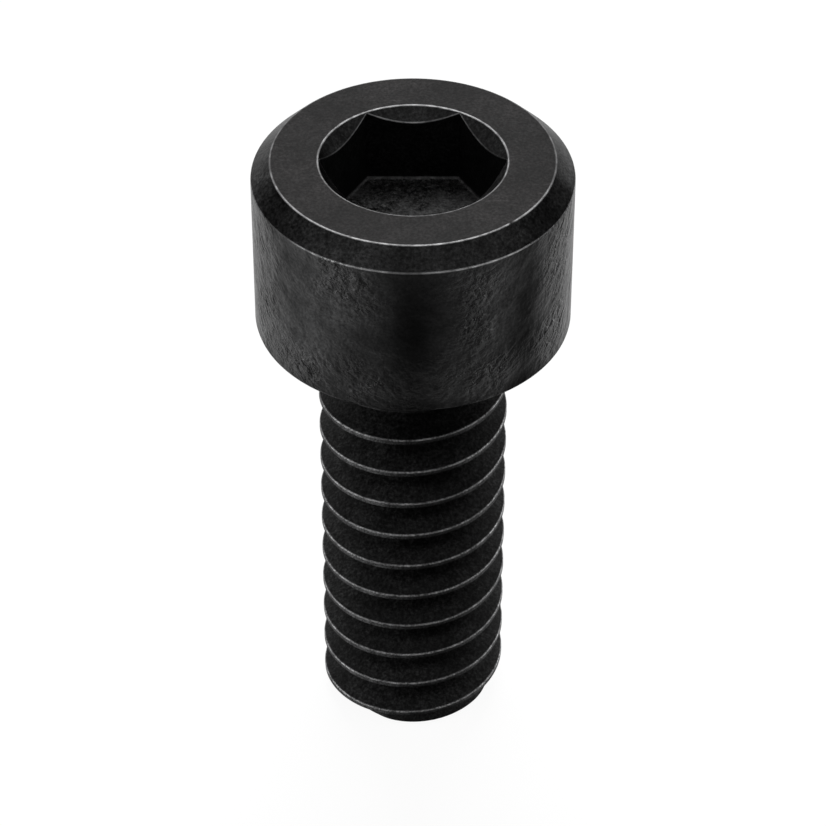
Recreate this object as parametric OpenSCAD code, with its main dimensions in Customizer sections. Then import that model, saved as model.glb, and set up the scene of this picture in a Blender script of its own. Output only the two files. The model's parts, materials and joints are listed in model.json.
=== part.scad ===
// Hex socket cap screw: a turned cylindrical head with a hexagon socket, and a threaded shank.
// It stands on the flat end of its thread. The origin is the centre of that end face, +Z runs up
// the axis to the head, and two corners of the socket lie on the X axis.

/* [Head] */
// Diameter of the head
head_d = 7.925; // [7.2:0.005:9.5]
// Height of the head
head_h = 4.7; // [3.8:0.01:7]
// Height and width of the 45 degree chamfer around the top of the head
head_chamfer = 0.477; // [0.1:0.001:0.8]
// Radius of the edge around the underside of the head
head_base_edge_r = 0.1; // [0.02:0.01:0.3]

/* [Socket] */
// Width across the flats of the socket
socket_af = 3.975; // [3.2:0.005:4.4]
// Depth of the socket below the top of the head
socket_depth = 2; // [1.2:0.05:3.4]
// How far the countersink's rim stands outside the socket's corners
countersink_margin = 0.02; // [0.01:0.01:0.3]
// Full angle of the countersink
countersink_angle = 92; // [80:1:120]

/* [Shank] */
// Length of the shank, from the underside of the head to the end face
shank_l = 12.7; // [6:0.1:25]
// Radius of the fillet between the shank and the head
neck_fillet_r = 0.2; // [0.05:0.01:0.4]
// Diameter of the flat end face
end_face_d = 3.65; // [2.2:0.05:3.8]
// Angle between the chamfered end and the axis
end_chamfer_angle = 45; // [30:1:60]

/* [Thread] */
// Outside diameter of the thread, over its crests
thread_d = 4.826; // [4.3:0.002:5.4]
// Distance along the axis from one crest to the next
thread_pitch = 1.0583; // [0.75:0.0001:1.3]
// Full angle between the two flanks of a groove
thread_angle = 60; // [50:1:62]
// Width of the flat on each crest
crest_w = 0.132; // [0.125:0.001:0.16]
// Width of the bottom of the groove between its flanks
root_w = 0.176; // [0.12:0.001:0.24]
// How far the rounded bottom of the groove bulges below its flanks
root_bulge = 0.04; // [0.01:0.01:0.08]
// Length of plain shank that is left between the head and the end of the groove
plain_neck_l = 0.94; // [0.5:0.01:3]
// Angle over which the groove becomes shallower until it ends
runout_turn = 180; // [60:5:300]
// Direction, around the axis from +X, in which the groove meets the end face
thread_start = 145; // [0:1:359]

/* [Hidden] */

// Facets of the round faces
ROUND = 96;
// Steps of the thread's groove in each turn
STEPS = 36;
FULL_TURN = 360;
// How far a cut reaches past the face that it opens
overcut = 0.5;
// How far the groove's cutter reaches past the crests, so that its turns stay apart
cutter_overlap = 0.09;

head_r = head_d / 2;
thread_r = thread_d / 2;
end_face_r = end_face_d / 2;
screw_l = shank_l + head_h;
corner_r = socket_af / 2 / cos(30);
countersink_r = corner_r + countersink_margin;
countersink_run = tan(countersink_angle / 2);
// The countersink's cone ends inside the socket, where it cuts nothing
countersink_inner_r = socket_af / 2 - overcut;
countersink_h = (countersink_r - countersink_inner_r) / countersink_run;
flank_run = tan(thread_angle / 2);
groove_w = thread_pitch - crest_w;
groove_depth = (groove_w - root_w) / 2 / flank_run;
end_chamfer_h = (thread_r - end_face_r) / tan(end_chamfer_angle);
// The groove starts one turn below the end face, and its first step lies in that direction
first_angle = thread_start - FULL_TURN;
last_angle = thread_start + FULL_TURN * (shank_l - plain_neck_l) / thread_pitch;
groove_steps = ceil((last_angle - first_angle) * STEPS / FULL_TURN);
step_angle = (last_angle - first_angle) / groove_steps;

// A quarter circle's worth of material in the corner of two faces, or to be cut from an edge
module corner_fill(r) {
    difference() {
        square(r);
        translate([r, r]) circle(r, $fn = ROUND);
    }
}

// Half section of the head, with its chamfer and its rounded lower edge
module head_section() {
    difference() {
        polygon([
            [0, shank_l],
            [head_r, shank_l],
            [head_r, screw_l - head_chamfer],
            [head_r - head_chamfer, screw_l],
            [0, screw_l],
        ]);
        translate([head_r, shank_l]) mirror([1, 0]) corner_fill(head_base_edge_r);
    }
}

// Half section of the shank before its thread is cut, with the fillet under the head
module shank_section() {
    polygon([
        [0, 0],
        [end_face_r, 0],
        [thread_r, end_chamfer_h],
        [thread_r, shank_l],
        [thread_r, shank_l + overcut],
        [0, shank_l + overcut],
    ]);
    translate([thread_r, shank_l]) mirror([0, 1]) corner_fill(neck_fillet_r);
}

// Points of the groove's section at one angle, out from the axis and up. The section moves out of
// the shank over the run-out
function groove_section(angle) =
    let(
        z = thread_pitch * (angle - thread_start) / FULL_TURN,
        left = max(0, last_angle - angle) / runout_turn,
        lift = (groove_depth + root_bulge + cutter_overlap) * max(0, 1 - left),
        rise = groove_w / 2 + cutter_overlap * flank_run
    )
    [
        [thread_r + cutter_overlap + lift, z + rise],
        [thread_r - groove_depth + lift, z + root_w / 2],
        [thread_r - groove_depth - root_bulge + lift, z],
        [thread_r - groove_depth + lift, z - root_w / 2],
        [thread_r + cutter_overlap + lift, z - rise],
    ];

// The helical groove as one solid, wound up around the axis to the right
module groove() {
    rings = [
        for (i = [0 : groove_steps])
            let(angle = first_angle + i * step_angle)
            [for (p = groove_section(angle)) [p[0] * cos(angle), p[0] * sin(angle), p[1]]]
    ];
    sides = len(rings[0]);
    points = [for (ring = rings) each ring];
    walls = [
        for (i = [0 : groove_steps - 1], k = [0 : sides - 1])
            let(
                a = i * sides + k,
                b = i * sides + (k + 1) % sides,
                c = b + sides,
                d = a + sides
            )
            each [[a, b, c], [a, c, d]]
    ];
    start_cap = [for (k = [sides - 1 : -1 : 0]) k];
    end_cap = [for (k = [0 : sides - 1]) groove_steps * sides + k];
    polyhedron(points, concat([start_cap], walls, [end_cap]));
}

// The shank with its thread cut into it
module threaded_shank() {
    difference() {
        rotate_extrude($fn = ROUND) shank_section();
        groove();
    }
}

// The hexagon socket and the countersink around its mouth
module socket() {
    translate([0, 0, screw_l - socket_depth])
        cylinder(r = corner_r, h = socket_depth + overcut, $fn = 6);
    translate([0, 0, screw_l - countersink_h])
        cylinder(
            r1 = countersink_inner_r,
            r2 = countersink_r + overcut * countersink_run,
            h = countersink_h + overcut,
            $fn = ROUND
        );
}

// The whole screw, in one piece
module screw() {
    color([0.13, 0.13, 0.14])
        union() {
            difference() {
                rotate_extrude($fn = ROUND) head_section();
                socket();
            }
            threaded_shank();
        }
}

screw();
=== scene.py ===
"""Looks of the hex socket cap screw: one finely meshed screw in black oxide, on a pale floor."""

import json
import math

import bmesh
import bpy
import numpy as np
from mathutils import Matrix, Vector


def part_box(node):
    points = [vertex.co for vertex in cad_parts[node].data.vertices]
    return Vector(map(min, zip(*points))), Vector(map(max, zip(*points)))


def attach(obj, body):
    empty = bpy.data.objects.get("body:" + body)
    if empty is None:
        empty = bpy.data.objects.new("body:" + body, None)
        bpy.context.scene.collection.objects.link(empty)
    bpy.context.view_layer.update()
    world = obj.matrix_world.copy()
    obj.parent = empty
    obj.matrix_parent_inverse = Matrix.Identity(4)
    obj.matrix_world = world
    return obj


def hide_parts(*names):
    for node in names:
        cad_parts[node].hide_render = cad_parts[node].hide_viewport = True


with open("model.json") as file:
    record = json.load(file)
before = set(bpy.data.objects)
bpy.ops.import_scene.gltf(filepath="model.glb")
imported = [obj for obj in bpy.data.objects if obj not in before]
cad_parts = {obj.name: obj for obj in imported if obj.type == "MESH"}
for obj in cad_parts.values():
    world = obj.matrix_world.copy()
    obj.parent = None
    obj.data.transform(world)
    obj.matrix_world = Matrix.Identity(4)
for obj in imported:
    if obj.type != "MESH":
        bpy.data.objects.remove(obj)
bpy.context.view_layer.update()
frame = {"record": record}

MM = 0.001

# Sizes of the screw in millimetres, and the run-out and start of its thread in turns. Its lengths
# and the radius of its head come from the frame
MOUNTS = {mount["name"]: mount for mount in frame["record"]["mounts"]}
SCREW_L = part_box("screw")[1].z / MM
SHANK_L = MOUNTS["bearing_face"]["pos_m"][2] / MM
HEAD_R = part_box("screw")[1].x / MM
THREAD_R = 2.413
HEAD_CHAMFER = 0.477
HEAD_BASE_EDGE_R = 0.1
NECK_FILLET_R = 0.2
SOCKET_AF = 3.975
SOCKET_DEPTH = 2.0
COUNTERSINK_MARGIN = 0.02
COUNTERSINK_ANGLE = math.radians(92)
END_FACE_R = 1.825
END_CHAMFER_ANGLE = math.radians(45)
PITCH = 1.0583
THREAD_ANGLE = math.radians(60)
CREST_W = 0.132
ROOT_W = 0.176
ROOT_BULGE = 0.04
PLAIN_NECK_L = 0.94
RUNOUT_TURN = 0.5
THREAD_START = 145 / 360

# What follows from these sizes: the socket's wall, corners, rim and floor, and the height at which
# the rows of the shank end and the columns of the head begin
SOCKET_WALL_R = SOCKET_AF / 2
SOCKET_CORNER_R = SOCKET_WALL_R / math.cos(math.pi / 6)
RIM_R = SOCKET_CORNER_R + COUNTERSINK_MARGIN
SOCKET_FLOOR_Z = SCREW_L - SOCKET_DEPTH
NECK_Z = SHANK_L - NECK_FILLET_R * 1.2

# Radii of the small rounded edges
CHAMFER_EDGE_R = 0.056
TOP_EDGE_R = 0.055
RIM_EDGE_R = 0.06
SOCKET_EDGE_R = 0.05
SOCKET_FLOOR_R = 0.06
CREST_TOP_EDGE_R = 0.065
CREST_LOW_EDGE_R = 0.012
ROOT_EDGE_R = 0.09
END_EDGE_R = 0.05
SOCKET_CORNER_ROUND = 0.03

# How far the finish is worn off on those edges, from 0 to 1. The pale worn steel also stands as
# their painted highlight
RIM_EDGE_WEAR_AND_HIGHLIGHT = 1.0
SOCKET_EDGE_WEAR = 0.75
SOCKET_FLOOR_WEAR = 0.24
CREST_TOP_WEAR_AND_HIGHLIGHT = 0.6
END_EDGE_WEAR = 0.22
# The share of that wear which is left at the two sides of a rounded edge
SIDE_SHARE = 0.4

# Wear and painted highlight around the two outer edges of the head and along the flat of the
# thread's crests, set for each direction: degrees from the front, and their amount from 0 to 1
CHAMFER_EDGE_WEAR_AND_HIGHLIGHT = [
    (-110, 0.3),
    (-60, 0.0),
    (-48, 0.05),
    (-40, 0.35),
    (-25, 0.8),
    (-15, 0.85),
    (-8, 0.5),
    (0, 0.42),
    (8, 0.65),
    (17, 1.0),
    (30, 0.75),
    (42, 0.55),
    (50, 0.1),
    (60, 0.0),
    (110, 0.3),
]
TOP_EDGE_WEAR_AND_HIGHLIGHT = [
    (-90, 0.43),
    (-75, 0.55),
    (-60, 0.85),
    (-45, 0.78),
    (-25, 0.9),
    (0, 1.0),
    (38, 1.0),
    (52, 0.75),
    (65, 0.58),
    (90, 0.42),
]
CREST_FLAT_WEAR_AND_HIGHLIGHT = [
    (-110, 0.08),
    (-62, 0.05),
    (-50, 0.12),
    (-41, 0.22),
    (-22, 0.2),
    (-10, 0.09),
    (2, 0.04),
    (26, 0.03),
    (36, 0.12),
    (52, 0.12),
    (64, 0.05),
    (110, 0.08),
]
# How dull the lower edge of the crests is, from 0 to 1, which darkens it as painted shade under
# each crest, and how far that reaches in millimetres
CREST_LOW_DULL_AND_SHADE = 0.7
CREST_LOW_REACH = 0.035

# Fineness of the mesh
COLUMNS = 216
ARC_STEPS = 3
# Width of the narrow strip beside each rounded edge that keeps the face next to it flat, and the
# largest share of that face it may take
HOLD = 0.012
HOLD_SHARE = 0.04
# Largest share of the face beside it that a rounded edge may take
ROUND_SHARE = 0.45
# How near an edge of the head a point has to be to take its wear and painted highlight, in
# millimetres
EDGE_REACH = 0.1
# Vertices less than this many metres apart are merged
MERGE = 1e-7

# Dull, darker blots on the side of the head: painted shade on the blots within 70 degrees of the
# front, uneven tone on those further back. Degrees from the front, millimetres below the top,
# half width in degrees, half height in millimetres, and strength
SHADE_AND_TONE_BLOTS = [
    (0, 2.3, 13, 2.8, 0.97),
    (-46, 2.1, 7, 1.0, 0.35),
    (-61, 0.55, 8, 0.35, 0.6),
    (60, 0.5, 7, 0.35, 0.55),
    (44, 2.6, 10, 3.4, 0.95),
    (-24, 3.9, 6, 0.6, 0.4),
    (-52, 1.4, 4, 0.7, 0.4),
    (-66, 2.6, 3, 0.5, 0.4),
    (64, 2.2, 3, 0.6, 0.4),
    (100, 2.0, 14, 1.2, 0.6),
    (150, 3.0, 20, 1.4, 0.7),
    (-130, 2.2, 16, 1.6, 0.7),
]

# Such blots on the chamfer: painted shade at the front and at 60 degrees to either side of it,
# uneven tone at the back
CHAMFER_SHADE_AND_TONE_BLOTS = [
    (-61, 0.2, 19, 2, 0.85),
    (-2, 0.2, 7, 2, 0.2),
    (60, 0.2, 20, 2, 0.92),
    (150, 0.2, 12, 2, 0.5),
]

# Crinkled, pitted patches on the side of the head, with the same five values
CRINKLES = [
    (-22, 1.0, 11, 0.8, 1.0),
    (20, 1.9, 9, 1.5, 1.0),
    (27, 3.6, 9, 0.6, 0.8),
    (-68, 2.6, 10, 1.9, 1.0),
    (-46, 4.2, 14, 0.5, 0.9),
    (-6, 4.0, 24, 0.7, 1.0),
    (66, 1.4, 11, 1.3, 0.9),
    (62, 3.8, 12, 0.7, 0.8),
    (118, 2.4, 14, 1.2, 0.8),
    (165, 1.2, 16, 0.7, 0.9),
    (-150, 3.2, 14, 1.0, 0.9),
    (-105, 1.6, 12, 1.1, 0.8),
]

# Where the top edge is nicked: degrees from the front, and half width in degrees
NICKS = [(42.3, 1.1), (-171, 0.9)]

# Parts of the surface that differ in finish, in painted highlight and in painted shade, each a
# float attribute of the mesh
ZONES = ("wear", "side", "dull", "rugged", "chamfer", "top", "seat", "floor", "wall", "thread")

# The camera, as fitted to the photo
CAMERA_TARGET_Z = 9.386
CAMERA_DISTANCE = 86.8
CAMERA_ELEVATION = math.radians(39.73)
CAMERA_LENS = 146.7
CAMERA_SENSOR = 36

# The lamps: name, place and size in millimetres, and power. All are aimed at the same point
LAMPS = [
    ("overhead", (0, 80, 160), (110, 90), 0.25),
    ("front", (0, -75, 140), (60, 40), 0.035),
    ("left", (-95, -2, 9), (90, 18), 0.085),
    ("right", (90, 30, 9), (90, 18), 0.09),
]
LAMP_AIM = (0, 0, 10)

# The surround and the floor: how bright each is to the camera and in reflections, how much light
# the surround gives, the floor's own grey, which takes the shadow, and its half width in metres
SURROUND_GLOW = 0.96
SURROUND_LIGHT = 0.04
FLOOR_GLOW = 0.94
FLOOR_GREY = 0.09
FLOOR_HALF_WIDTH = 1.5

# Sockets of a mix node that blends colours
MIX_A, MIX_B, MIX_OUT = 6, 7, 2


def rounded(points, radii, cuts, wear):
    """A polyline with its inner corners rounded. cuts[i] is the number of parts of stretch i. Gives
    the points, and the wear and painted highlight of each: that of its corner on a rounded edge,
    and 0 elsewhere."""
    points = [np.array(p, float) for p in points]
    out, worn_and_highlight = [points[0]], [0.0]
    for i in range(1, len(points)):
        here = points[i]
        corner, shares = [here], [0.0]
        if i < len(points) - 1 and radii[i] > 0:
            back, ahead = points[i - 1] - here, points[i + 1] - here
            back_l, ahead_l = np.linalg.norm(back), np.linalg.norm(ahead)
            back, ahead = back / back_l, ahead / ahead_l
            half = math.acos(np.clip(back @ ahead, -1, 1)) / 2
            reach = min(radii[i] / math.tan(half), ROUND_SHARE * back_l, ROUND_SHARE * ahead_l)
            radius = reach * math.tan(half)
            middle = (back + ahead) / np.linalg.norm(back + ahead)
            centre = here + middle * radius / math.sin(half)
            first, final = here + back * reach - centre, here + ahead * reach - centre
            sweep = math.pi - 2 * half
            arc, worn_and_highlight_arc = [], []
            for t in np.linspace(0, 1, ARC_STEPS + 1):
                turned = math.sin((1 - t) * sweep) * first + math.sin(t * sweep) * final
                arc.append(centre + turned / math.sin(sweep))
                middle_share = (1 - SIDE_SHARE) * math.sin(math.pi * t)
                worn_and_highlight_arc.append(wear[i] * (SIDE_SHARE + middle_share))
            before = arc[0] + back * min(HOLD, HOLD_SHARE * back_l)
            after = arc[-1] + ahead * min(HOLD, HOLD_SHARE * ahead_l)
            corner = [before, *arc, after]
            shares = [0.0, *worn_and_highlight_arc, 0.0]
        start = out[-1]
        for k in range(1, cuts[i - 1]):
            out.append(start + (corner[0] - start) * k / cuts[i - 1])
            worn_and_highlight.append(0.0)
        out.extend(corner)
        worn_and_highlight.extend(shares)
    return np.array(out), np.array(worn_and_highlight)


def thread_section():
    """One pitch of the thread, from crest to crest. Gives lists of the points' height, depth below
    the crest, wear and painted highlight, dullness and painted shade, whether they are on the
    crest, and then the flanks' depth."""
    half_groove = (PITCH - CREST_W) / 2
    depth = (half_groove - ROOT_W / 2) / math.tan(THREAD_ANGLE / 2)
    points = [
        (-PITCH / 2, 0),
        (-half_groove, 0),
        (-ROOT_W / 2, depth),
        (0, depth + ROOT_BULGE),
        (ROOT_W / 2, depth),
        (half_groove, 0),
        (PITCH / 2, 0),
    ]
    radii = [0, CREST_TOP_EDGE_R, ROOT_EDGE_R, 0, ROOT_EDGE_R, CREST_LOW_EDGE_R, 0]
    wear = [0, CREST_TOP_WEAR_AND_HIGHLIGHT, 0, 0, 0, 0, 0]
    section, worn_and_highlight = rounded(points, radii, [1, 2, 1, 1, 2, 1], wear)
    height, sunk = section[:-1].T
    # Painted shade along the lower edge of each crest
    dull = CREST_LOW_DULL_AND_SHADE * np.exp(-(((height - half_groove) / CREST_LOW_REACH) ** 2))
    return height, sunk, worn_and_highlight[:-1], dull, sunk < 0.001, depth


def soft_min(a, b, width):
    """The smaller of two values, with a rounded change from one to the other."""
    gap = np.clip(0.5 + (b - a) / (2 * width), 0, 1)
    return b + (a - b) * gap - width * gap * (1 - gap)


def shank_rows():
    """The threaded shank as rows that climb along the helix: the angle of each column, the radius,
    height, wear and painted highlight of each point, and the dullness and painted shade of each
    row.
    Row i of the last column joins row i + row_shift of the first."""
    heights, depths, worn_and_highlight, dull, on_crest, depth = thread_section()
    row_shift = len(heights)
    turns = np.repeat(np.arange(-2, math.ceil(SHANK_L / PITCH) + 2), row_shift)
    row_height = np.tile(heights, len(turns) // row_shift)
    row_depth = np.tile(depths, len(turns) // row_shift)
    row_wear = np.tile(worn_and_highlight, len(turns) // row_shift)
    row_dull = np.tile(dull, len(turns) // row_shift)
    row_crest = np.tile(on_crest, len(turns) // row_shift)
    angle = np.arange(COLUMNS) / COLUMNS
    crest_wear = np.interp(from_front(angle), *zip(*CREST_FLAT_WEAR_AND_HIGHLIGHT))
    thread_wear = np.maximum(row_wear[None, :], crest_wear[:, None] * row_crest[None, :])
    along = angle[:, None] - THREAD_START + turns[None, :]
    z = PITCH * along + row_height[None, :]
    last = (SHANK_L - PLAIN_NECK_L) / PITCH
    left = np.clip((last - along) / RUNOUT_TURN, 0, 1)
    lift = (depth + ROOT_BULGE) * (1 - left)
    sunk = np.clip(row_depth[None, :] - lift, 0, None)
    for heights_here, sunk_here in zip(z, sunk):
        sunk_here[heights_here < 0] = np.interp(0, heights_here, sunk_here)
    z = np.clip(z, 0, NECK_Z)
    rounding = np.clip(END_EDGE_R - z, 0, None) ** 2 / (2 * END_EDGE_R)
    cone = END_FACE_R + z * math.tan(END_CHAMFER_ANGLE) - rounding
    radius = soft_min(THREAD_R - sunk, cone, 0.02)
    radius = np.where(z >= NECK_Z, THREAD_R, radius)
    cone_meets = END_EDGE_WEAR * np.exp(-(((THREAD_R - sunk - cone) / 0.03) ** 2))
    wear = np.maximum(thread_wear * (cone > THREAD_R), cone_meets * (sunk < 0.1))
    wear = wear * np.where(left > 0.05, 1, 0)
    return angle, radius, z, wear, row_dull, row_shift


def socket_wall_r(angle):
    """Distance from the axis to the socket's wall at angles in turns. Its corners are rounded."""
    off = np.abs(((angle * 6) % 1) - 0.5) / 6 * 2 * math.pi
    r = SOCKET_WALL_R / np.cos(off)
    limit = np.full_like(r, SOCKET_CORNER_R + SOCKET_CORNER_ROUND * 0.2)
    return soft_min(r, limit, SOCKET_CORNER_ROUND)


def head_columns():
    """The surface from the top of the shank over the head into the socket's floor: for each column
    its angle, the radius and height of its points, their wear and painted highlight, and the
    socket's wall there."""
    angle = np.arange(COLUMNS) / COLUMNS
    wall_r = socket_wall_r(angle)
    run = math.tan(COUNTERSINK_ANGLE / 2)
    all_points, all_wear = [], []
    # Radius, wear and painted highlight of each corner, and the parts of the stretch after it
    corners = [
        (0, 0, 1),
        (NECK_FILLET_R, 0, 4),
        (HEAD_BASE_EDGE_R, 0, 12),
        (CHAMFER_EDGE_R, 1, 3),
        (TOP_EDGE_R, 1, 4),
        (RIM_EDGE_R, RIM_EDGE_WEAR_AND_HIGHLIGHT, 2),
        (SOCKET_EDGE_R, SOCKET_EDGE_WEAR, 6),
        (SOCKET_FLOOR_R, SOCKET_FLOOR_WEAR, 4),
        (0, 0, 0),
    ]
    radii, wear, cuts = zip(*corners)
    for r in wall_r:
        points = [
            (THREAD_R, NECK_Z),
            (THREAD_R, SHANK_L),
            (HEAD_R, SHANK_L),
            (HEAD_R, SCREW_L - HEAD_CHAMFER),
            (HEAD_R - HEAD_CHAMFER, SCREW_L),
            (RIM_R, SCREW_L),
            (r, SCREW_L - (RIM_R - r) / run),
            (r, SOCKET_FLOOR_Z),
            (r * 0.4, SOCKET_FLOOR_Z),
        ]
        column, worn_and_highlight = rounded(points, radii, cuts, wear)
        all_points.append(column)
        all_wear.append(worn_and_highlight)
    return angle, np.array(all_points), np.array(all_wear), wall_r


def from_front(angle):
    """Degrees from the front, from -180 to 180, of an angle in turns."""
    return (angle * 360 + 270) % 360 - 180


def spotted(spots, angle, height):
    """How strongly spots of the head show at an angle in turns, for each height."""
    share = np.zeros(len(height))
    for place, below, half_width, half_height, strength in spots:
        across = (from_front(angle) - place + 180) % 360 - 180
        down = SCREW_L - height - below
        share += strength * np.exp(-((across / half_width) ** 2) - (down / half_height) ** 2)
    return np.clip(share, 0, 1)


def nicked(angle):
    """1 in the middle of a nick of the top edge, at an angle in turns, and 0 away from it."""
    share = max(math.exp(-(((from_front(angle) - place) / half) ** 2)) for place, half in NICKS)
    return min(1, 1.6 * share)


def head_finish(angle, r, h, worn_and_highlight, wall_r):
    """The share of each zone for the points of one column of the head, at an angle in turns."""
    upper = h > SHANK_L + 1
    inside = upper & (r < wall_r + 0.01)
    seat = upper & (r > wall_r + 0.01) & (r < RIM_R)
    side = r > HEAD_R - 0.02
    chamfer = upper & (r > HEAD_R - HEAD_CHAMFER) & ~side
    floor = inside & (h < SOCKET_FLOOR_Z + 0.03)

    # The rounded edges: the two outer ones, the rim, and the socket's own, which is the lip
    shoulder = (abs(h - SCREW_L + HEAD_CHAMFER) < EDGE_REACH) & (r > HEAD_R - EDGE_REACH)
    edge = (abs(h - SCREW_L) < EDGE_REACH) & (r > HEAD_R - HEAD_CHAMFER - EDGE_REACH)
    rim = (h > SCREW_L - EDGE_REACH) & (abs(r - RIM_R) < EDGE_REACH)
    lip = upper & (h < SCREW_L - 0.02) & (r < RIM_R - 0.02)
    turned = from_front(angle)
    shoulder_wear = np.interp(turned, *zip(*CHAMFER_EDGE_WEAR_AND_HIGHLIGHT))
    edge_wear = np.interp(turned, *zip(*TOP_EDGE_WEAR_AND_HIGHLIGHT)) * (1 - nicked(angle))
    # The socket's edges carry the most wear and painted highlight at the back, and its seat carries
    # painted shade in front and at the left
    back = max(0, math.sin(2 * math.pi * angle))
    right = max(0, math.cos(2 * math.pi * angle))
    rim_wear = 0.8 + 0.2 * math.sin(2 * math.pi * angle)
    lip_wear = 0.1 + 0.9 * back**1.5
    for place, share in (
        (shoulder, shoulder_wear),
        (edge, edge_wear),
        (rim, rim_wear),
        (lip, lip_wear),
    ):
        worn_and_highlight = worn_and_highlight * np.where(place, share, 1)

    # Painted shade on the seat, darkest in front and at the left
    seat_shade = max(0, 1 - back - 0.35 * right)
    # Painted shade along the lower edge of the head
    shade_under_edge = np.exp(-(((h - SHANK_L) / 0.12) ** 2)) * (r > HEAD_R - 0.3)
    # Painted shade from the blots on the side and on the chamfer
    dull = spotted(SHADE_AND_TONE_BLOTS, angle, h) * side + spotted(CHAMFER_SHADE_AND_TONE_BLOTS, angle, h) * chamfer
    return {
        "wear": worn_and_highlight,
        "side": side,
        "dull": np.clip(dull + seat_shade * seat + shade_under_edge, 0, 1),
        "rugged": np.maximum(spotted(CRINKLES, angle, h) * side, floor),
        "chamfer": chamfer,
        "top": (h > SCREW_L - 0.01) & (r > SOCKET_WALL_R),
        "seat": seat,
        "floor": floor,
        "wall": inside & (h > SOCKET_FLOOR_Z + 0.03),
    }


def build_screw():
    """The screw as one closed mesh, with a float attribute for each zone of its finish, its wear
    and painted highlight, and its painted shade.
    """
    vertices, faces = [], []
    zones = {name: [] for name in ZONES}

    def add(angles, radius, z, **shares):
        """New vertices, with their share of each zone. Gives the number of the first."""
        first = len(vertices)
        for a, r, h in zip(angles, radius, z):
            turn = 2 * math.pi * a
            vertices.append((r * math.cos(turn) * MM, r * math.sin(turn) * MM, h * MM))
        for name, values in zones.items():
            values.extend(np.broadcast_to(shares.get(name, 0.0), len(radius)))
        return first

    angle, radius, z, wear, dull, row_shift = shank_rows()
    rows = radius.shape[1]
    shank = [
        add(np.full(rows, angle[j]), radius[j], z[j], wear=wear[j], dull=dull, thread=1.0)
        for j in range(COLUMNS)
    ]
    for j in range(COLUMNS):
        wraps = j == COLUMNS - 1
        here, there = shank[j], shank[(j + 1) % COLUMNS]
        shift = row_shift if wraps else 0
        for i in range(rows - 1):
            a, b = min(i + shift, rows - 1), min(i + 1 + shift, rows - 1)
            faces.append((here + i, there + a, there + b, here + i + 1))

    angle, column, wear, wall_r = head_columns()
    count = column.shape[1]
    head = []
    for j in range(COLUMNS):
        r, h = column[j, :, 0], column[j, :, 1]
        finish = head_finish(angle[j], r, h, wear[j], wall_r[j])
        head.append(add(np.full(count, angle[j]), r, h, **finish))
    for j in range(COLUMNS):
        here, there = head[j], head[(j + 1) % COLUMNS]
        for i in range(count - 1):
            faces.append((here + i, there + i, there + i + 1, here + i + 1))

    socket_middle = add([0], [0], [SOCKET_FLOOR_Z], floor=1.0)
    end_middle = add([0], [0], [0], thread=1.0)
    for j in range(COLUMNS):
        k = (j + 1) % COLUMNS
        faces.append((head[j] + count - 1, head[k] + count - 1, socket_middle))
    inner = [add([angle[j]], [END_FACE_R * 0.6], [0], thread=1.0) for j in range(COLUMNS)]
    for j in range(COLUMNS):
        k = (j + 1) % COLUMNS
        faces.append((inner[j], inner[k], shank[k], shank[j]))
        faces.append((end_middle, inner[k], inner[j]))

    mesh = bpy.data.meshes.new("cap_screw")
    mesh.from_pydata(vertices, [], faces)
    for name, values in zones.items():
        layer = mesh.attributes.new(name, "FLOAT", "POINT")
        layer.data.foreach_set("value", np.array(values, np.float32))
    bm = bmesh.new()
    bm.from_mesh(mesh)
    bmesh.ops.remove_doubles(bm, verts=bm.verts, dist=MERGE)
    bmesh.ops.dissolve_degenerate(bm, edges=bm.edges, dist=MERGE / 10)
    bmesh.ops.recalc_face_normals(bm, faces=bm.faces)
    for face in bm.faces:
        face.smooth = True
    bm.to_mesh(mesh)
    bm.free()
    piece = bpy.data.objects.new("cap_screw", mesh)
    bpy.context.scene.collection.objects.link(piece)
    weighted = piece.modifiers.new("weighted_normals", "WEIGHTED_NORMAL")
    weighted.keep_sharp = True
    return piece


def node(tree, kind, **settings):
    """A new shader node. settings are its properties."""
    made = tree.nodes.new(kind)
    for name, value in settings.items():
        setattr(made, name, value)
    return made


def noise(tree, place, scale, detail=4.0, roughness=0.55, stretch=(1, 1, 1), lean=0.0):
    """A noise pattern of about 1 / scale millimetres. It is that times stretch along the axes,
    which lean from Y towards Z by an angle in radians."""
    mapping = node(tree, "ShaderNodeMapping", vector_type="TEXTURE")
    mapping.inputs["Scale"].default_value = [s * MM / scale for s in stretch]
    mapping.inputs["Rotation"].default_value = (lean, 0, 0)
    tree.links.new(place, mapping.inputs["Vector"])
    pattern = node(tree, "ShaderNodeTexNoise")
    pattern.inputs["Scale"].default_value = 1.0
    pattern.inputs["Detail"].default_value = detail
    pattern.inputs["Roughness"].default_value = roughness
    tree.links.new(mapping.outputs["Vector"], pattern.inputs["Vector"])
    return pattern.outputs["Fac"]


def span(tree, value, low, high, to_low=0.0, to_high=1.0):
    """value carried from low..high to to_low..to_high, and held at the ends."""
    made = node(tree, "ShaderNodeMapRange")
    made.inputs["From Min"].default_value = low
    made.inputs["From Max"].default_value = high
    made.inputs["To Min"].default_value = to_low
    made.inputs["To Max"].default_value = to_high
    tree.links.new(value, made.inputs["Value"])
    return made.outputs["Result"]


def maths(tree, operation, a, b):
    """The result of one operation on two values, each a socket or a number."""
    made = node(tree, "ShaderNodeMath", operation=operation)
    for socket, value in zip(made.inputs, (a, b)):
        if isinstance(value, (int, float)):
            socket.default_value = value
        else:
            tree.links.new(value, socket)
    return made.outputs[0]


def weighed(tree, base, *parts):
    """base plus each value times its weight."""
    total = base
    for value, weight in parts:
        total = maths(tree, "ADD", maths(tree, "MULTIPLY", value, weight), total)
    return total


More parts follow.
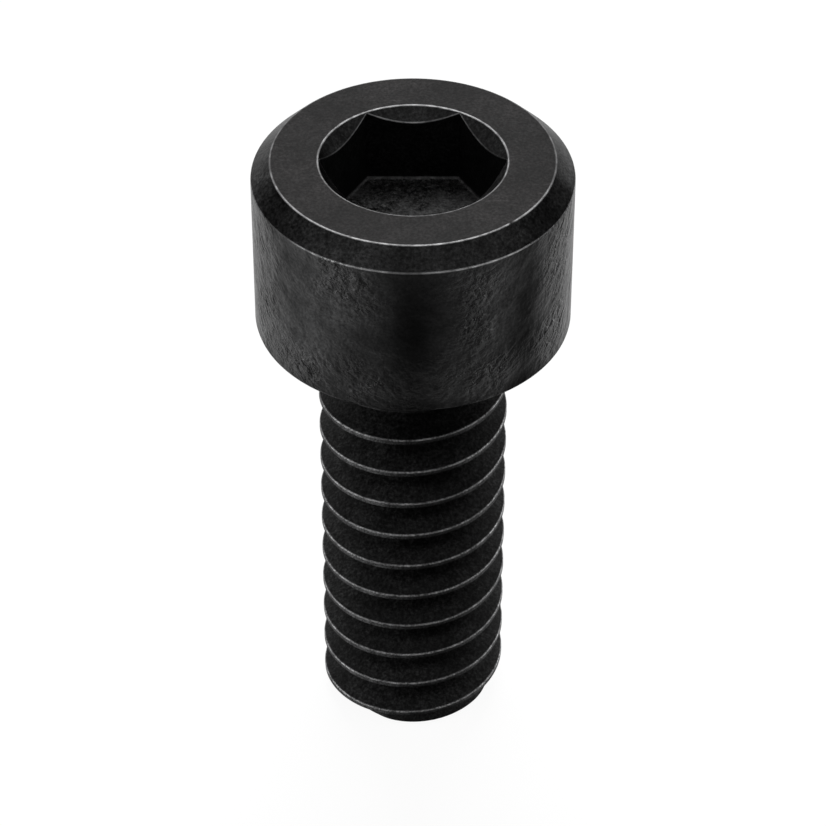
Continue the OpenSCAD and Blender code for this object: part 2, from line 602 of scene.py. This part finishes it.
def blend_colour(tree, share, a, b):
    """Colour a going over to colour b with share."""
    made = node(tree, "ShaderNodeMix", data_type="RGBA")
    tree.links.new(share, made.inputs["Factor"])
    for socket, value in ((made.inputs[MIX_A], a), (made.inputs[MIX_B], b)):
        if isinstance(value, tuple):
            socket.default_value = (*value, 1)
        else:
            tree.links.new(value, socket)
    return made.outputs[MIX_OUT]


def black_oxide():
    """Black oxide on alloy steel: near black, satin, worn to pale steel on the edges, which is also
    their painted highlight, and darker where painted shade lies on the head and under the crests.
    """
    material = bpy.data.materials.new("black_oxide_steel")
    material.use_nodes = True
    tree = material.node_tree
    shader = tree.nodes["Principled BSDF"]
    place = node(tree, "ShaderNodeTexCoord").outputs["Object"]

    wear, side, dull, rugged, chamfer, top, seat, floor, wall, thread = (
        node(tree, "ShaderNodeAttribute", attribute_name=name).outputs["Fac"] for name in ZONES
    )

    cloud = noise(tree, place, 0.35)
    patch = noise(tree, place, 0.7, detail=3.0)
    mottle = noise(tree, place, 3.0, detail=6.0)
    speck = noise(tree, place, 13.0, detail=3.0, roughness=0.65)
    grain = noise(tree, place, 16.0, detail=2.0)
    fold = noise(tree, place, 1.2, detail=3.0, roughness=0.5)
    wrinkle = noise(
        tree, place, 3.0, detail=3.0, roughness=0.5, stretch=(1.2, 1.9, 0.9), lean=0.65
    )
    pit = noise(tree, place, 8.0, detail=2.0, roughness=0.6)
    blotch = noise(tree, place, 6.0, detail=4.0, roughness=0.75)
    crumb = noise(tree, place, 26.0, detail=2.0)
    streak = noise(tree, place, 1.6, detail=2.0, stretch=(2.0, 0.14, 1.0))

    rugged = maths(tree, "MULTIPLY", rugged, span(tree, fold, 0.42, 0.56, 0.25, 1.0))
    ridge = maths(tree, "ABSOLUTE", maths(tree, "SUBTRACT", wrinkle, 0.5), 0.0)
    creased = maths(tree, "MULTIPLY", rugged, ridge)
    pitted = maths(tree, "MULTIPLY", rugged, span(tree, pit, 0.4, 0.51, 1.0, 0.0))
    scratch = maths(tree, "MULTIPLY", top, span(tree, streak, 0.66, 0.72))

    # Painted shade: the side, the chamfer and the crests' lower edges are darker where the dull
    # mask is high, and the side is lighter outside it
    dull_chamfer = maths(tree, "MULTIPLY", dull, chamfer)
    bright_side = maths(tree, "MULTIPLY", side, maths(tree, "SUBTRACT", 1.0, dull))
    grey = weighed(tree, 0.017, (bright_side, 0.026), (dull, -0.014), (dull_chamfer, -0.006))
    # The socket's walls are darker as painted shade
    grey = weighed(tree, grey, (chamfer, 0.006), (thread, -0.006), (floor, 0.016), (wall, -0.013))
    grey = weighed(tree, grey, (scratch, 0.01))
    grey = maths(tree, "MULTIPLY", grey, span(tree, cloud, 0.35, 0.65, 0.85, 1.15))
    grey = maths(tree, "MULTIPLY", grey, span(tree, patch, 0.35, 0.65, 0.75, 1.2))
    grey = maths(tree, "MULTIPLY", grey, span(tree, mottle, 0.35, 0.65, 0.82, 1.18))
    grey = maths(tree, "MULTIPLY", grey, span(tree, speck, 0.33, 0.67, 0.55, 1.5))
    grey = maths(tree, "MULTIPLY", grey, span(tree, pitted, 0.0, 1.0, 1.0, 0.2))
    blotches = weighed(tree, -1.0, (blotch, 1.0), (speck, 1.0))
    uneven = weighed(tree, 0.0, (thread, 1.0), (wall, 1.0), (seat, 0.8))
    uneven = weighed(tree, uneven, (floor, 0.4), (chamfer, 0.4), (top, 0.25))
    blotched = weighed(tree, 1.0, (maths(tree, "MULTIPLY", blotches, uneven), 3.5))
    grey = maths(tree, "MULTIPLY", grey, maths(tree, "MAXIMUM", blotched, 0.1))
    reddish = maths(tree, "MULTIPLY", top, cloud)
    tint = blend_colour(tree, reddish, (1.0, 1.0, 1.01), (1.1, 1.0, 1.0))
    colour = node(tree, "ShaderNodeVectorMath", operation="SCALE")
    tree.links.new(tint, colour.inputs["Vector"])
    tree.links.new(grey, colour.inputs["Scale"])
    # The pale worn steel on the edges is wear and also painted highlight
    worn_and_highlight = maths(tree, "MULTIPLY", wear, span(tree, mottle, 0.35, 0.6, 0.5, 1.0))
    worn_and_highlight = maths(tree, "MULTIPLY", worn_and_highlight, span(tree, blotch, 0.35, 0.6, 0.85, 1.05))
    # The crests of the thread are worn unevenly
    broken = maths(tree, "MULTIPLY", thread, span(tree, crumb, 0.38, 0.62, -0.65, 0.3))
    worn_and_highlight = maths(tree, "MULTIPLY", worn_and_highlight, maths(tree, "ADD", broken, 1.0))
    colour = blend_colour(tree, worn_and_highlight, colour.outputs["Vector"], (0.45, 0.45, 0.455))
    tree.links.new(colour, shader.inputs["Base Color"])
    tree.links.new(maths(tree, "MULTIPLY", worn_and_highlight, 0.8), shader.inputs["Metallic"])

    rough = weighed(tree, 0.32, (mottle, 0.2), (grain, 0.08), (chamfer, -0.14), (side, -0.12))
    rough = weighed(tree, rough, (worn_and_highlight, 0.2))
    tree.links.new(rough, shader.inputs["Roughness"])
    shine = weighed(tree, 0.055, (side, 0.02), (dull, -0.058), (chamfer, -0.03), (thread, -0.012))
    tree.links.new(shine, shader.inputs["Specular IOR Level"])

    folded = maths(tree, "MULTIPLY", fold, side)
    height = weighed(tree, 0.0, (grain, 0.008), (creased, 0.75), (pitted, -0.03), (folded, 0.14))
    bump = node(tree, "ShaderNodeBump")
    bump.inputs["Strength"].default_value = 1.0
    bump.inputs["Distance"].default_value = MM
    tree.links.new(height, bump.inputs["Height"])
    tree.links.new(bump.outputs["Normal"], shader.inputs["Normal"])
    return material


def seen_or_mirrored(tree):
    """1 for a ray from the camera, a reflection or a refraction, and 0 for light that scatters."""
    path = node(tree, "ShaderNodeLightPath")
    share = maths(tree, "MAXIMUM", path.outputs["Is Camera Ray"], path.outputs["Is Glossy Ray"])
    return maths(tree, "MAXIMUM", share, path.outputs["Is Transmission Ray"])


def pale_floor():
    """A pale floor that shows white and still takes the screw's shadow."""
    far = FLOOR_HALF_WIDTH
    corners = [(-far, -far, 0), (far, -far, 0), (far, far, 0), (-far, far, 0)]
    mesh = bpy.data.meshes.new("floor")
    mesh.from_pydata(corners, [], [(0, 1, 2, 3)])
    floor = bpy.data.objects.new("floor", mesh)
    bpy.context.scene.collection.objects.link(floor)
    material = bpy.data.materials.new("floor")
    material.use_nodes = True
    tree = material.node_tree
    tree.nodes.clear()
    out = node(tree, "ShaderNodeOutputMaterial")
    diffuse = node(tree, "ShaderNodeBsdfDiffuse")
    diffuse.inputs["Color"].default_value = (FLOOR_GREY, FLOOR_GREY, FLOOR_GREY, 1)
    glow = node(tree, "ShaderNodeEmission")
    strength = maths(tree, "MULTIPLY", seen_or_mirrored(tree), FLOOR_GLOW)
    tree.links.new(strength, glow.inputs["Strength"])
    both = node(tree, "ShaderNodeAddShader")
    tree.links.new(diffuse.outputs[0], both.inputs[0])
    tree.links.new(glow.outputs[0], both.inputs[1])
    tree.links.new(both.outputs[0], out.inputs["Surface"])
    mesh.materials.append(material)


def world_light():
    """A white surround that lights weakly."""
    world = bpy.data.worlds.new("surround")
    bpy.context.scene.world = world
    world.use_nodes = True
    tree = world.node_tree
    background = tree.nodes["Background"]
    background.inputs["Color"].default_value = (1, 1, 1, 1)
    strength = weighed(tree, SURROUND_LIGHT, (seen_or_mirrored(tree), SURROUND_GLOW))
    tree.links.new(strength, background.inputs["Strength"])


def softbox(name, place, size, power):
    """A rectangular area lamp at a place in millimetres."""
    lamp = bpy.data.lights.new(name, "AREA")
    lamp.shape = "RECTANGLE"
    lamp.size, lamp.size_y = size[0] * MM, size[1] * MM
    lamp.energy = power
    thing = bpy.data.objects.new(name, lamp)
    thing.location = Vector(place) * MM
    thing.rotation_euler = (Vector(LAMP_AIM) - Vector(place)).to_track_quat("-Z", "Y").to_euler()
    bpy.context.scene.collection.objects.link(thing)


def place_camera():
    """The camera of the photo, in front of the screw and looking down on its head."""
    data = bpy.data.cameras.new("camera")
    data.lens = CAMERA_LENS
    data.sensor_width = CAMERA_SENSOR
    data.clip_start = MM
    camera = bpy.data.objects.new("camera", data)
    target = Vector((0, 0, CAMERA_TARGET_Z)) * MM
    away = Vector((0, -math.cos(CAMERA_ELEVATION), math.sin(CAMERA_ELEVATION)))
    camera.location = target + away * CAMERA_DISTANCE * MM
    camera.rotation_euler = (-away).to_track_quat("-Z", "Y").to_euler()
    bpy.context.scene.collection.objects.link(camera)
    bpy.context.scene.camera = camera


screw = build_screw()
screw.data.materials.append(black_oxide())
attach(screw, "root")
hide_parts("screw")

pale_floor()
world_light()
for name, place, size, power in LAMPS:
    softbox(name, place, size, power)
place_camera()
bpy.context.scene.view_settings.view_transform = "Standard"
